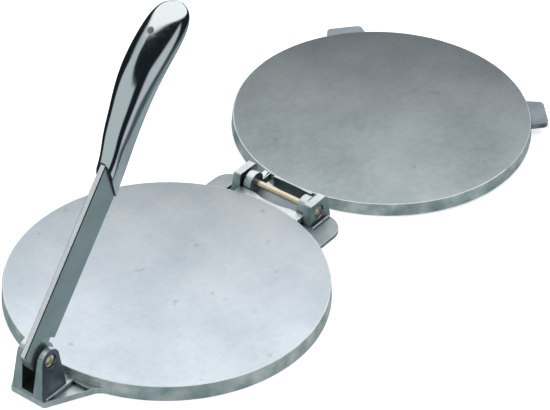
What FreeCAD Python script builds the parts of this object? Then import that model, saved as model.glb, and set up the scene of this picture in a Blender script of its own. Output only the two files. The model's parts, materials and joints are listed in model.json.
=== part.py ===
import FreeCAD, Part
import math
import os
import Sketcher

# Tortilla press, open: a lower and an upper cast plate joined by a rear hinge, and a pressing lever on a
# front clevis. Millimetres. X runs from the lever to the hinge, Z is up, and the origin is the middle of
# the lower plate on the table. The upper plate, the lever and the pins are each drawn in a frame of their
# own, at the axis that they turn about, and then placed.

doc = FreeCAD.newDocument("TortillaPress")
sheet = doc.addObject("Spreadsheet::Sheet", "Sizes")


# A size is a number together with the formula that gives it from the named sizes.
class Size:
    def __init__(self, number, formula):
        self.number = number
        self.formula = formula

    def __add__(self, other):
        other = asSize(other)
        return Size(self.number + other.number, f"({self.formula} + {other.formula})")

    def __radd__(self, other):
        return asSize(other) + self

    def __sub__(self, other):
        other = asSize(other)
        return Size(self.number - other.number, f"({self.formula} - {other.formula})")

    def __mul__(self, other):
        other = asSize(other)
        return Size(self.number * other.number, f"({self.formula} * {other.formula})")

    def __rmul__(self, other):
        return asSize(other) * self

    def __truediv__(self, other):
        other = asSize(other)
        return Size(self.number / other.number, f"({self.formula} / {other.formula})")

    def __neg__(self):
        return Size(-self.number, f"(0 - {self.formula})")


def asSize(value):
    if isinstance(value, Size):
        return value
    return Size(float(value), f"({float(value):.9f})")


def sine(angle):
    return Size(math.sin(math.radians(angle.number)), f"sin({angle.formula})")


def cosine(angle):
    return Size(math.cos(math.radians(angle.number)), f"cos({angle.formula})")


def tangent(angle):
    return Size(math.tan(math.radians(angle.number)), f"tan({angle.formula})")


def root(value):
    return Size(math.sqrt(value.number), f"sqrt({value.formula})")


rowsUsed = 0


def size(alias, number, note):
    global rowsUsed
    rowsUsed += 1
    sheet.set(f"A{rowsUsed}", note)
    sheet.set(f"B{rowsUsed}", str(number))
    sheet.setAlias(f"B{rowsUsed}", alias)
    return Size(float(number), f"Sizes.{alias}")


zero = Size(0.0, "0")

# Press plates
faceRadius = size("faceRadius", 82.5, "radius of both press faces")
baseHeight = size("baseHeight", 8.4, "table to lower press face")
baseRimDraft = size("baseRimDraft", 0.5, "how much wider the lower rim is at its foot")
baseDeck = size("baseDeck", 4.8, "thickness of the lower plate inside its rim")
topHeight = size("topHeight", 7.1, "upper press face to the back of its rim")
topRimDraft = size("topRimDraft", 0.6, "how much wider the upper rim is at its back")
topDeck = size("topDeck", 4.3, "thickness of the upper plate inside its rim")
rimWall = size("rimWall", 4.0, "width of either rim")
edgeBreak = size("edgeBreak", 0.4, "broken edge round a press face")
hubRadius = size("hubRadius", 12.0, "middle boss under or behind a plate")
ribWidth = size("ribWidth", 2.6, "width of a stiffening rib")
ribLift = size("ribLift", 0.8, "how far a rib stays short of its rim's edge")
ribCount = size("ribCount", 8, "stiffening ribs of either plate")

# Hinge
hingeGap = size("hingeGap", 11.0, "plate rim to hinge axis")
hingeDrop = size("hingeDrop", 0.6, "hinge axis below the lower press face")
closedGap = size("closedGap", 0.2, "between the press faces when closed")
restTiltAngle = size("restTiltAngle", 1.23, "degrees that the open plate's far edge is raised")
hingePinRadius = size("hingePinRadius", 1.9, "hinge pin")
pinPlay = size("pinPlay", 0.05, "running clearance round a pin")
barrelRadius = size("barrelRadius", 5.7, "knuckle barrel")
barrelInner = size("barrelInner", 15.3, "mid-plane to a barrel's inner end")
barrelWidth = size("barrelWidth", 4.4, "length of a barrel")
barrelGap = size("barrelGap", 1.2, "between a barrel and its ear")
barrelRelief = size("barrelRelief", 0.6, "clearance round a barrel's outside")

# Hinge ears
earThickness = size("earThickness", 5.6, "hinge ear at its foot")
earThinning = size("earThinning", 1.1, "how much thinner an ear is at its top")
earRise = size("earRise", 6.0, "lower press face to an ear's top")
earFront = size("earFront", 7.0, "hinge axis forward to an ear's top corner")
earBack = size("earBack", 8.0, "hinge axis back to an ear's top corner")
earFrontSpread = size("earFrontSpread", 1.2, "how much further forward an ear's foot is")
earBackSpread = size("earBackSpread", 1.6, "how much further back an ear's foot is")
earFrontRound = size("earFrontRound", 1.4, "round on an ear's front top corner")
earBackRound = size("earBackRound", 3.0, "round on an ear's rear top corner")
earRecessRadius = size("earRecessRadius", 4.1, "sunk seat for a hinge pin head")
hingeHeadRadius = size("hingeHeadRadius", 2.9, "hinge pin head")
headHeight = size("headHeight", 0.9, "height of a closed pin head")
recessDepth = size("recessDepth", 1.1, "depth of a sunk seat below the face at the pin")

# Rear foot
rearFootReach = size("rearFootReach", 6.2, "hinge axis back to the rear foot's edge")
rearFootHalf = size("rearFootHalf", 39.8, "half width of the rear foot")
rearFootRound = size("rearFootRound", 11.3, "round on the rear foot's corners")
rearFootHeight = size("rearFootHeight", 2.5, "thickness of the rear foot")
earBeadOffset = size("earBeadOffset", 1.5, "hinge ear to the raised bead beside it")
earBeadWidth = size("earBeadWidth", 0.9, "width of that bead")
earBeadRise = size("earBeadRise", 1.3, "height of that bead on the foot")
floorHeight = size("floorHeight", 1.5, "foot between the ears, below the barrels")
ledgeDrop = size("ledgeDrop", 1.5, "lower press face down to the ledge between the ears")
ledgeRadius = size("ledgeRadius", 38.0, "hollow edge of that ledge")
ledgeDip = size("ledgeDip", 1.9, "how far the middle of that edge lies further in")

# Lever clevis and front foot
pivotGap = size("pivotGap", 13.3, "plate rim forward to the lever pivot")
pivotHeight = size("pivotHeight", 22.0, "table to the lever pivot")
archRise = size("archRise", 0.4, "lever pivot up to the centre of the ear's arch")
archRadius = size("archRadius", 6.0, "round top of a clevis ear")
clevisFrontAngle = size("clevisFrontAngle", 8.4, "degrees, front of the clevis ears")
clevisBackAngle = size("clevisBackAngle", 7.8, "degrees, back of the clevis ears")
clevisHalf = size("clevisHalf", 8.1, "mid-plane to a clevis ear's outside at the pivot")
clevisDraftAngle = size("clevisDraftAngle", 4.4, "degrees, outside of the clevis ears")
slotHalf = size("slotHalf", 4.55, "half width of the slot at the pivot")
slotDraftAngle = size("slotDraftAngle", 3.4, "degrees, sides of the slot")
slotFloor = size("slotFloor", 5.2, "table to the floor of the slot")
clevisRecessRadius = size("clevisRecessRadius", 3.9, "sunk seat for a lever pin head")
leverHeadRadius = size("leverHeadRadius", 3.1, "lever pin head")
frontFootHalf = size("frontFootHalf", 10.2, "half width of the front foot's edge")
frontFootRound = size("frontFootRound", 1.8, "round on the front foot's corners")
frontFootHeight = size("frontFootHeight", 3.4, "thickness of the front foot")
flareInset = size("flareInset", 0.7, "plate rim in to where the foot's sides turn out")
flareHalf = size("flareHalf", 22.5, "half width of the front foot there")
flareJoinHalf = size("flareJoinHalf", 30.5, "half width where the foot meets the rim")
kerbWidth = size("kerbWidth", 1.1, "raised kerb along the foot of a clevis ear")
kerbRise = size("kerbRise", 0.6, "height of that kerb on the foot")
panelDepth = size("panelDepth", 1.7, "sunk panel in the top of the front foot")
panelWall = size("panelWall", 0.6, "wall left round that panel")

# Lever
leverAngle = size("leverAngle", 51.9, "degrees that the lever stands above level")
leverPinRadius = size("leverPinRadius", 2.0, "lever pin")
eyeRadius = size("eyeRadius", 7.8, "eye of the lever")
eyeHalf = size("eyeHalf", 2.7, "half width of the eye")
shoulderRadius = size("shoulderRadius", 11.0, "pivot to the round shoulder of the bar")
barFront = size("barFront", 11.8, "pivot line to the front strip of the bar")
barBack = size("barBack", 0.1, "pivot line to the back of the bar")
barFrontHalf = size("barFrontHalf", 1.45, "half width of the front strip")
barBackHalf = size("barBackHalf", 5.15, "half width of the bar at its back")
noseDrop = size("noseDrop", 2.4, "how far the front strip runs past the pivot")
noseAngle = size("noseAngle", 160, "degrees round the eye to where the nose leaves it")
gripStart = size("gripStart", 83.2, "pivot to the handle's lower step, at the back")
gripApex = size("gripApex", 95.4, "pivot to the point of that step, at the front")
stepBow = size("stepBow", 0.7, "how far that step bows towards the bar's front")
gripLength = size("gripLength", 95.4, "handle, from its step to its tip")
gripHalf = size("gripHalf", 9.3, "half width of the handle at its widest")
gripDepth = size("gripDepth", 15.5, "depth of the handle at its deepest")
gripArch = size("gripArch", 7.7, "how far the handle's back bows from the pivot line")
gripBand = size("gripBand", 4.7, "flat band along the handle's side at its lower end")
gripDraftAngle = size("gripDraftAngle", 15.0, "degrees, side of that band")
gripWall = size("gripWall", 2.6, "wall round the hollow in the handle's back")
gripHollow = size("gripHollow", 3.6, "depth of that hollow")
hangHoleInset = size("hangHoleInset", 17.0, "tip of the handle to the hanging hole")
hangHoleRadius = size("hangHoleRadius", 1.9, "hanging hole")

# Lifting tabs and the pad on the upper plate's back
tabAngle = size("tabAngle", 49.0, "degrees from the mid-line to a lifting tab")
tabHalf = size("tabHalf", 10.5, "half width of a lifting tab at its edge")
tabGap = size("tabGap", 9.5, "plate rim to a lifting tab's edge")
tabThickness = size("tabThickness", 3.0, "thickness of a lifting tab")
tabDrop = size("tabDrop", 2.5, "upper press face down to a lifting tab")
tabRound = size("tabRound", 3.0, "round on a lifting tab's corners")
webHalf = size("webHalf", 12.6, "half width of the web between the arms")
webReach = size("webReach", 11.1, "hinge axis to the web")
padOffset = size("padOffset", 50.0, "plate centre to the pad that the lever presses")
padHalf = size("padHalf", 8.0, "half width of that pad")
padRise = size("padRise", 2.5, "height of that pad on the rim's level")

# One overrun serves every cut
overrun = size("overrun", 3.0, "how far a cut runs past what it cuts")
doc.recompute()

hingeReach = faceRadius + hingeGap
pivotReach = faceRadius + pivotGap
flareReach = faceRadius - flareInset
tabReach = faceRadius + tabGap
padReach = hingeReach + padOffset
hangHoleReach = gripStart + gripLength - hangHoleInset
hingeHeight = baseHeight - hingeDrop
earInner = barrelInner + barrelWidth + barrelGap
rimMiddle = faceRadius - rimWall / 2
faceOffset = hingeDrop + closedGap
archHeight = pivotHeight + archRise

# The front of the clevis ears runs straight down into the front foot's edge
frontFootReach = pivotReach + archRadius / cosine(clevisFrontAngle) \
    + (archHeight - frontFootHeight) * tangent(clevisFrontAngle)


# Sketch and feature helpers

def bind(item, name, value):
    item.setExpression(name, value.formula)


def newBody(label):
    body = doc.addObject("PartDesign::Body", label)
    body.Label = label
    return body


def originItem(body, role):
    return [item for item in body.Origin.OriginFeatures if item.Role == role][0]


def newSketch(body, name, role, level=zero):
    sketch = body.newObject("Sketcher::SketchObject", name)
    sketch.AttachmentSupport = [(originItem(body, role), "")]
    sketch.MapMode = "FlatFace"
    bind(sketch, "AttachmentOffset.Base.z", level)
    return sketch


def fixPoint(sketch, item, vertex, place):
    for kind, value in (("DistanceX", place[0]), ("DistanceY", place[1])):
        row = sketch.addConstraint(Sketcher.Constraint(kind, -1, 1, item, vertex, value.number))
        bind(sketch, f"Constraints[{row}]", value)


# A corner is (x, y). With a third and fourth size the edge that follows is an arc through that point.
# A clockwise arc is drawn from its far end.
def closedOutline(sketch, corners):
    first = sketch.GeometryCount
    count = len(corners)
    ends = []
    for index, corner in enumerate(corners):
        following = corners[(index + 1) % count]
        start = FreeCAD.Vector(corner[0].number, corner[1].number, 0)
        end = FreeCAD.Vector(following[0].number, following[1].number, 0)
        if len(corner) == 2:
            sketch.addGeometry(Part.LineSegment(start, end), False)
            ends.append((1, 2))
            continue
        middle = FreeCAD.Vector(corner[2].number, corner[3].number, 0)
        if (middle - start).cross(end - middle).z > 0:
            sketch.addGeometry(Part.Arc(start, middle, end), False)
            ends.append((1, 2))
        else:
            sketch.addGeometry(Part.Arc(end, middle, start), False)
            ends.append((2, 1))
    for index in range(count):
        following = (index + 1) % count
        sketch.addConstraint(Sketcher.Constraint(
            "Coincident", first + index, ends[index][1], first + following, ends[following][0]))
    for index, corner in enumerate(corners):
        fixPoint(sketch, first + index, ends[index][0], corner)
        if len(corner) == 4:
            middle = FreeCAD.Vector(corner[2].number, corner[3].number, 0)
            mark = sketch.addGeometry(Part.Point(middle), True)
            sketch.addConstraint(Sketcher.Constraint("PointOnObject", mark, 1, first + index))
            fixPoint(sketch, mark, 1, corner[2:])


def circle(sketch, centre, radius):
    middle = FreeCAD.Vector(centre[0].number, centre[1].number, 0)
    item = sketch.addGeometry(Part.Circle(middle, FreeCAD.Vector(0, 0, 1), radius.number), False)
    fixPoint(sketch, item, 3, centre)
    row = sketch.addConstraint(Sketcher.Constraint("Radius", item, radius.number))
    bind(sketch, f"Constraints[{row}]", radius)


# Where a rounded corner meets a slanting side, in degrees
earBackTurn = 12
earFrontTurn = 176
flareTurn = 119
tabTurn = 80


# A rounded corner: where its arc starts, what the arc passes through, and where it ends
def roundCorner(centre, radius, startAngle, endAngle):
    def place(angle):
        turn = math.radians(angle)
        return centre[0] + radius * math.cos(turn), centre[1] + radius * math.sin(turn)
    return [place(startAngle) + place((startAngle + endAngle) / 2), place(endAngle)]


def mirrored(corners):
    return [(corner[0], -corner[1]) for corner in reversed(corners)]


def extrude(body, kind, name, sketch, length, symmetric=False, reverse=False):
    feature = body.newObject(kind, name)
    feature.Profile = sketch
    bind(feature, "Length", length)
    if symmetric:
        feature.SideType = "Symmetric"
    feature.Reversed = reverse
    return feature


def pad(body, name, sketch, length, symmetric=False, reverse=False):
    return extrude(body, "PartDesign::Pad", name, sketch, length, symmetric, reverse)


def pocket(body, name, sketch, length, symmetric=False, reverse=False):
    return extrude(body, "PartDesign::Pocket", name, sketch, length, symmetric, reverse)


def turned(body, name, sketch, axisRole):
    feature = body.newObject("PartDesign::Revolution", name)
    feature.Profile = sketch
    feature.ReferenceAxis = (originItem(body, axisRole), [""])
    feature.Angle = 360
    return feature


def mirror(body, name, originals, planeRole):
    feature = body.newObject("PartDesign::Mirrored", name)
    feature.Originals = originals
    feature.MirrorPlane = (originItem(body, planeRole), [""])
    body.Tip = feature
    return feature


def aroundAxis(body, name, originals, axis, count):
    feature = body.newObject("PartDesign::PolarPattern", name)
    feature.Originals = originals
    feature.Axis = axis
    feature.Angle = 360
    feature.Occurrences = int(count.number)
    bind(feature, "Occurrences", count)
    body.Tip = feature
    return feature


def placeAt(item, reach, height, axis, angle):
    item.Placement = FreeCAD.Placement(
        FreeCAD.Vector(reach.number, 0, height.number), FreeCAD.Rotation(axis, angle.number))
    bind(item, "Placement.Base.x", reach)
    bind(item, "Placement.Base.z", height)
    bind(item, "Placement.Rotation.Angle", angle)


# Lower plate: the round plate with its rim and boss, then its ribs

basePlate = newBody("base_plate")


def baseDisc():
    sketch = newSketch(basePlate, "DiscSection", "XZ_Plane")
    underside = baseHeight - baseDeck
    closedOutline(sketch, [
        (zero, zero),
        (hubRadius, zero),
        (hubRadius, underside),
        (faceRadius - rimWall, underside),
        (faceRadius - rimWall, zero),
        (faceRadius + baseRimDraft, zero),
        (faceRadius, baseHeight - edgeBreak),
        (faceRadius - edgeBreak, baseHeight),
        (zero, baseHeight)])
    turned(basePlate, "Disc", sketch, "Z_Axis")


def baseRibs():
    sketch = newSketch(basePlate, "RibOutline", "XY_Plane", ribLift)
    closedOutline(sketch, [
        (hubRadius / 2, -ribWidth / 2),
        (rimMiddle, -ribWidth / 2),
        (rimMiddle, ribWidth / 2),
        (hubRadius / 2, ribWidth / 2)])
    rib = pad(basePlate, "Rib", sketch, baseHeight - baseDeck)
    aroundAxis(basePlate, "Ribs", [rib], (originItem(basePlate, "Z_Axis"), [""]), ribCount)


# Rear foot, with a low floor between the ears so that the barrels turn clear of it

def rearFoot():
    sketch = newSketch(basePlate, "RearFootOutline", "XY_Plane")
    edge = hingeReach + rearFootReach
    joinReach = root(rimMiddle * rimMiddle - rearFootHalf * rearFootHalf)
    centreX = edge - rearFootRound
    centreY = rearFootHalf - rearFootRound
    closedOutline(sketch, [(joinReach, -rearFootHalf)]
                  + roundCorner((centreX, -centreY), rearFootRound, -90, 0)
                  + roundCorner((centreX, centreY), rearFootRound, 0, 90)
                  + [(joinReach, rearFootHalf, rimMiddle, zero)])
    pad(basePlate, "RearFoot", sketch, rearFootHeight)

    sketch = newSketch(basePlate, "FloorOutline", "XY_Plane", floorHeight)
    front = faceRadius + baseRimDraft
    closedOutline(sketch, [
        (front, -earInner),
        (edge + overrun, -earInner),
        (edge + overrun, earInner),
        (front, earInner)])
    pocket(basePlate, "Floor", sketch, rearFootHeight, reverse=True)


def hingeLedge():
    sketch = newSketch(basePlate, "LedgeOutline", "XY_Plane")
    edge = hingeReach - barrelRadius - barrelRelief
    depth = ledgeRadius - ledgeDip
    arcHalf = root(ledgeRadius * ledgeRadius - depth * depth)
    joinReach = root(rimMiddle * rimMiddle - earInner * earInner)
    closedOutline(sketch, [
        (joinReach, -earInner),
        (edge, -earInner),
        (edge, -arcHalf, edge - ledgeDip, zero),
        (edge, arcHalf),
        (edge, earInner),
        (joinReach, earInner, rimMiddle, zero)])
    pad(basePlate, "Ledge", sketch, baseHeight - ledgeDrop)


# A hinge ear with its draft, bead, pin hole and sunk seat, then the same on the other side

def hingeEars():
    top = baseHeight + earRise
    frontTop = hingeReach - earFront
    backTop = hingeReach + earBack
    sketch = newSketch(basePlate, "EarOutline", "XZ_Plane", earInner)
    closedOutline(sketch, [
        (frontTop - earFrontSpread, zero),
        (backTop + earBackSpread, zero)]
        + roundCorner((backTop - earBackRound, top - earBackRound), earBackRound, earBackTurn, 90)
        + roundCorner((frontTop + earFrontRound, top - earFrontRound), earFrontRound, 90, earFrontTurn))
    ear = pad(basePlate, "Ear", sketch, earThickness)

    sketch = newSketch(basePlate, "EarDraftOutline", "YZ_Plane", hingeReach)
    outside = -(earInner + earThickness)
    closedOutline(sketch, [
        (outside, rearFootHeight),
        (outside + earThinning, top),
        (outside + earThinning, top + overrun),
        (outside - overrun, top + overrun),
        (outside - overrun, rearFootHeight)])
    reach = earBack + earBackSpread + earBeadWidth
    draft = pocket(basePlate, "EarDraft", sketch, 2 * reach, symmetric=True)

    sketch = newSketch(basePlate, "BeadOutline", "XY_Plane")
    beadInner = earInner + earThickness + earBeadOffset
    closedOutline(sketch, [
        (frontTop - earFrontSpread - earBeadWidth, -(beadInner + earBeadWidth)),
        (hingeReach + rearFootReach - earBeadWidth / 2, -(beadInner + earBeadWidth)),
        (hingeReach + rearFootReach - earBeadWidth / 2, -beadInner),
        (frontTop - earFrontSpread - earBeadWidth, -beadInner)])
    bead = pad(basePlate, "Bead", sketch, rearFootHeight + earBeadRise)

    sketch = newSketch(basePlate, "EarHole", "XZ_Plane", earInner - barrelGap / 2)
    circle(sketch, (hingeReach, hingeHeight), hingePinRadius + pinPlay)
    hole = pocket(basePlate, "EarBore", sketch, earThickness + overrun, reverse=True)

    sketch = newSketch(basePlate, "EarSeat", "XZ_Plane", hingeSeat)
    circle(sketch, (hingeReach, hingeHeight), earRecessRadius)
    seat = pocket(basePlate, "EarRecess", sketch, recessDepth + overrun, reverse=True)
    mirror(basePlate, "OtherEar", [ear, draft, bead, hole, seat], "XZ_Plane")


# The face of an ear at the height of its pin, less the depth of the seat
hingeSeat = earInner + earThickness \
    - earThinning * (hingeHeight - rearFootHeight) / (baseHeight + earRise - rearFootHeight) - recessDepth


# Front foot with its sunk panels

def frontFoot():
    joinReach = root(rimMiddle * rimMiddle - flareJoinHalf * flareJoinHalf)
    rimReach = root(faceRadius * faceRadius - flareJoinHalf * flareJoinHalf)
    bowShare = 0.085
    middleX = (flareReach + rimReach) / 2 - (flareJoinHalf - flareHalf) * bowShare
    middleY = (flareHalf + flareJoinHalf) / 2 - (flareReach - rimReach) * bowShare
    centreX = -(frontFootReach - frontFootRound)
    centreY = frontFootHalf + (flareHalf - frontFootHalf) * frontFootRound \
        / (frontFootReach - flareReach) - frontFootRound
    sketch = newSketch(basePlate, "FrontFootOutline", "XY_Plane")
    closedOutline(sketch, [
        (-joinReach, flareJoinHalf),
        (-rimReach, flareJoinHalf, -middleX, middleY),
        (-flareReach, flareHalf)]
        + roundCorner((centreX, centreY), frontFootRound, flareTurn, 180)
        + roundCorner((centreX, -centreY), frontFootRound, 180, 360 - flareTurn)
        + [(-flareReach, -flareHalf, -middleX, -middleY),
           (-rimReach, -flareJoinHalf),
           (-joinReach, -flareJoinHalf, -rimMiddle, zero)])
    pad(basePlate, "FrontFoot", sketch, frontFootHeight)

    kerb = clevisFoot + kerbWidth
    sketch = newSketch(basePlate, "PanelOutline", "XY_Plane", frontFootHeight - panelDepth)
    slope = (flareHalf - frontFootHalf) / (frontFootReach - flareReach)
    backX = faceRadius + baseRimDraft + panelWall
    outerAtBack = flareHalf - (backX - flareReach) * slope - panelWall * root(1 + slope * slope)
    frontX = backX + (outerAtBack - kerb) / slope
    panel = [
        (-backX, kerb),
        (-backX, outerAtBack),
        (-frontX, kerb)]
    closedOutline(sketch, panel)
    closedOutline(sketch, mirrored(panel))
    pocket(basePlate, "Panels", sketch, panelDepth + overrun, reverse=True)

    sketch = newSketch(basePlate, "KerbOutline", "XY_Plane")
    outer = [
        (-faceRadius, clevisFoot - kerbWidth),
        (-faceRadius, kerb),
        (centreX, kerb),
        (centreX, clevisFoot - kerbWidth)]
    closedOutline(sketch, outer)
    closedOutline(sketch, mirrored(outer))
    pad(basePlate, "Kerbs", sketch, frontFootHeight + kerbRise)


# Clevis: its side outline, the draft outside, the slot, the pin hole and the sunk seats

clevisFoot = clevisHalf + (pivotHeight - frontFootHeight) * tangent(clevisDraftAngle)
clevisSeat = clevisHalf - recessDepth


def leverClevis():
    top = archHeight + archRadius
    frontX = pivotReach + archRadius * cosine(clevisFrontAngle)
    frontZ = archHeight + archRadius * sine(clevisFrontAngle)
    backX = pivotReach - archRadius * cosine(clevisBackAngle)
    backZ = archHeight + archRadius * sine(clevisBackAngle)
    sketch = newSketch(basePlate, "ClevisOutline", "XZ_Plane")
    closedOutline(sketch, [
        (-frontFootReach, zero),
        (-(backX - backZ * tangent(clevisBackAngle)), zero),
        (-backX, backZ, -pivotReach, top),
        (-frontX, frontZ),
        (-frontFootReach, frontFootHeight)])
    pad(basePlate, "Clevis", sketch, 2 * clevisFoot, symmetric=True)

    length = frontFootReach - faceRadius
    sketch = newSketch(basePlate, "ClevisDraftOutline", "YZ_Plane", -faceRadius)
    reach = top + overrun
    highHalf = clevisHalf - (reach - pivotHeight) * tangent(clevisDraftAngle)
    wedge = [
        (clevisFoot, frontFootHeight + kerbRise),
        (clevisFoot + overrun, frontFootHeight + kerbRise),
        (clevisFoot + overrun, reach),
        (highHalf, reach)]
    closedOutline(sketch, wedge)
    closedOutline(sketch, [(-corner[0], corner[1]) for corner in reversed(wedge)])
    pocket(basePlate, "ClevisDraft", sketch, length)

    sketch = newSketch(basePlate, "SlotOutline", "YZ_Plane", -(faceRadius + baseRimDraft))
    floorHalf = slotHalf - (pivotHeight - slotFloor) * tangent(slotDraftAngle)
    openHalf = slotHalf + (reach - pivotHeight) * tangent(slotDraftAngle)
    closedOutline(sketch, [
        (-floorHalf, slotFloor),
        (floorHalf, slotFloor),
        (openHalf, reach),
        (-openHalf, reach)])
    pocket(basePlate, "Slot", sketch, length)

    sketch = newSketch(basePlate, "ClevisHole", "XZ_Plane")
    circle(sketch, (-pivotReach, pivotHeight), leverPinRadius + pinPlay)
    pocket(basePlate, "ClevisBore", sketch, 2 * (clevisFoot + overrun), symmetric=True)

    sketch = newSketch(basePlate, "ClevisSeatOutline", "XZ_Plane", clevisSeat)
    circle(sketch, (-pivotReach, pivotHeight), clevisRecessRadius)
    seat = pocket(basePlate, "ClevisSeat", sketch, recessDepth + overrun, reverse=True)
    mirror(basePlate, "OtherClevisSeat", [seat], "XZ_Plane")


baseDisc()
baseRibs()
frontFoot()
leverClevis()
rearFoot()
hingeLedge()
hingeEars()


# Upper plate, drawn with the hinge axis at its origin, press face up and level

topPlate = newBody("top_plate")
backLevel = -(faceOffset + topHeight)


def topDisc():
    sketch = newSketch(topPlate, "TopSection", "XZ_Plane")
    recess = -(faceOffset + topDeck)
    inner = hingeReach - (faceRadius - rimWall)
    closedOutline(sketch, [
        (hingeReach, -faceOffset),
        (hingeReach - faceRadius + edgeBreak, -faceOffset),
        (hingeReach - faceRadius, -(faceOffset + edgeBreak)),
        (hingeReach - faceRadius - topRimDraft, backLevel),
        (inner, backLevel),
        (inner, recess),
        (hingeReach - hubRadius, recess),
        (hingeReach - hubRadius, backLevel),
        (hingeReach, backLevel)])
    axisSketch = newSketch(topPlate, "PlateAxis", "XZ_Plane")
    start = FreeCAD.Vector(hingeReach.number, 0, 0)
    end = FreeCAD.Vector(hingeReach.number, -hingeReach.number, 0)
    axisSketch.addGeometry(Part.LineSegment(start, end), False)
    fixPoint(axisSketch, 0, 1, (hingeReach, zero))
    fixPoint(axisSketch, 0, 2, (hingeReach, -hingeReach))
    feature = topPlate.newObject("PartDesign::Revolution", "TopDisc")
    feature.Profile = sketch
    feature.ReferenceAxis = (axisSketch, ["Edge1"])
    feature.Angle = 360
    return axisSketch


def topRibs(axisSketch):
    sketch = newSketch(topPlate, "TopRibOutline", "XY_Plane", backLevel + ribLift)
    closedOutline(sketch, [
        (hingeReach - rimMiddle, -ribWidth / 2),
        (hingeReach - hubRadius / 2, -ribWidth / 2),
        (hingeReach - hubRadius / 2, ribWidth / 2),
        (hingeReach - rimMiddle, ribWidth / 2)])
    rib = pad(topPlate, "TopRib", sketch, topHeight - topDeck)
    aroundAxis(topPlate, "TopRibs", [rib], (axisSketch, ["Edge1"]), ribCount)


def knuckles():
    sketch = newSketch(topPlate, "KnuckleOutline", "XZ_Plane", barrelInner)
    rimFront = hingeReach - rimMiddle
    closedOutline(sketch, [
        (zero, barrelRadius, -barrelRadius, zero),
        (zero, -barrelRadius),
        (rimFront, -barrelRadius),
        (rimFront, -faceOffset - edgeBreak),
        (barrelRadius, -faceOffset - edgeBreak),
        (barrelRadius, zero, barrelRadius * math.sqrt(0.5), barrelRadius * math.sqrt(0.5))])
    knuckle = pad(topPlate, "Knuckle", sketch, barrelWidth)
    sketch = newSketch(topPlate, "KnuckleHole", "XZ_Plane", barrelInner - overrun)
    circle(sketch, (zero, zero), hingePinRadius + pinPlay)
    bore = pocket(topPlate, "KnuckleBore", sketch, barrelWidth + 2 * overrun, reverse=True)
    mirror(topPlate, "OtherKnuckle", [knuckle, bore], "XZ_Plane")

    sketch = newSketch(topPlate, "WebOutline", "XY_Plane", backLevel)
    closedOutline(sketch, [
        (webReach, -webHalf),
        (rimFront, -webHalf),
        (rimFront, webHalf),
        (webReach, webHalf)])
    pad(topPlate, "Web", sketch, topHeight - edgeBreak)


# Lifting tabs at the edge away from the hinge: a rounded slab, turned to its place by its sketch

def liftingTabs():
    sketch = newSketch(topPlate, "TabOutline", "XY_Plane", -(faceOffset + tabDrop + tabThickness))
    bind(sketch, "AttachmentOffset.Base.x", hingeReach)
    sketch.AttachmentOffset = FreeCAD.Placement(
        sketch.AttachmentOffset.Base, FreeCAD.Rotation(FreeCAD.Vector(0, 0, 1), tabAngle.number))
    bind(sketch, "AttachmentOffset.Rotation.Angle", tabAngle)
    rootHalf = tabHalf + tabRound / 2
    centreX = tabReach - tabRound
    centreY = tabHalf - tabRound
    rootReach = root(rimMiddle * rimMiddle - rootHalf * rootHalf)
    closedOutline(sketch, [(rootReach, -rootHalf)]
                  + roundCorner((centreX, -centreY), tabRound, -tabTurn, 0)
                  + roundCorner((centreX, centreY), tabRound, 0, tabTurn)
                  + [(rootReach, rootHalf, rimMiddle, zero)])
    tab = pad(topPlate, "Tab", sketch, tabThickness)
    mirror(topPlate, "OtherTab", [tab], "XZ_Plane")


def pressPad():
    sketch = newSketch(topPlate, "PadOutline", "XY_Plane", backLevel - padRise)
    centre = (padReach, zero)
    circle(sketch, centre, padHalf)
    pad(topPlate, "PressPad", sketch, padRise + topHeight - topDeck)


plateAxis = topDisc()
topRibs(plateAxis)
knuckles()
liftingTabs()
pressPad()
placeAt(topPlate, hingeReach, hingeHeight, FreeCAD.Vector(0, -1, 0), restTiltAngle)


# Lever, drawn along X from its pivot, with its front strip up

lever = newBody("lever")

# Where a handle section lies along the handle, its half width, the height of its back, the height of the
# flat band at its side and its depth, each as a share of the handle's own size
gripShares = [
    (-0.034, 0.667, 0.030, 1.000, 0.755),
    (0.134, 0.688, 0.208, 1.000, 0.700),
    (0.260, 0.775, 0.545, 0.930, 0.800),
    (0.386, 0.865, 0.830, 0.800, 0.850),
    (0.512, 0.950, 1.000, 0.600, 0.925),
    (0.637, 1.000, 0.945, 0.365, 0.985),
    (0.763, 1.000, 0.680, 0.150, 1.000),
    (0.858, 0.950, 0.440, 0.080, 0.968),
    (0.935, 0.785, 0.325, 0.070, 0.835),
    (0.981, 0.500, 0.351, 0.050, 0.570),
    (1.000, 0.200, 0.470, 0.050, 0.240)]


def gripSection(row):
    alongShare, halfShare, backShare, bandShare, depthShare = row
    back = gripArch * backShare
    band = gripBand * bandShare
    crown = back + gripDepth * depthShare
    return gripStart + gripLength * alongShare, gripHalf * halfShare, back, band, crown


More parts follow.
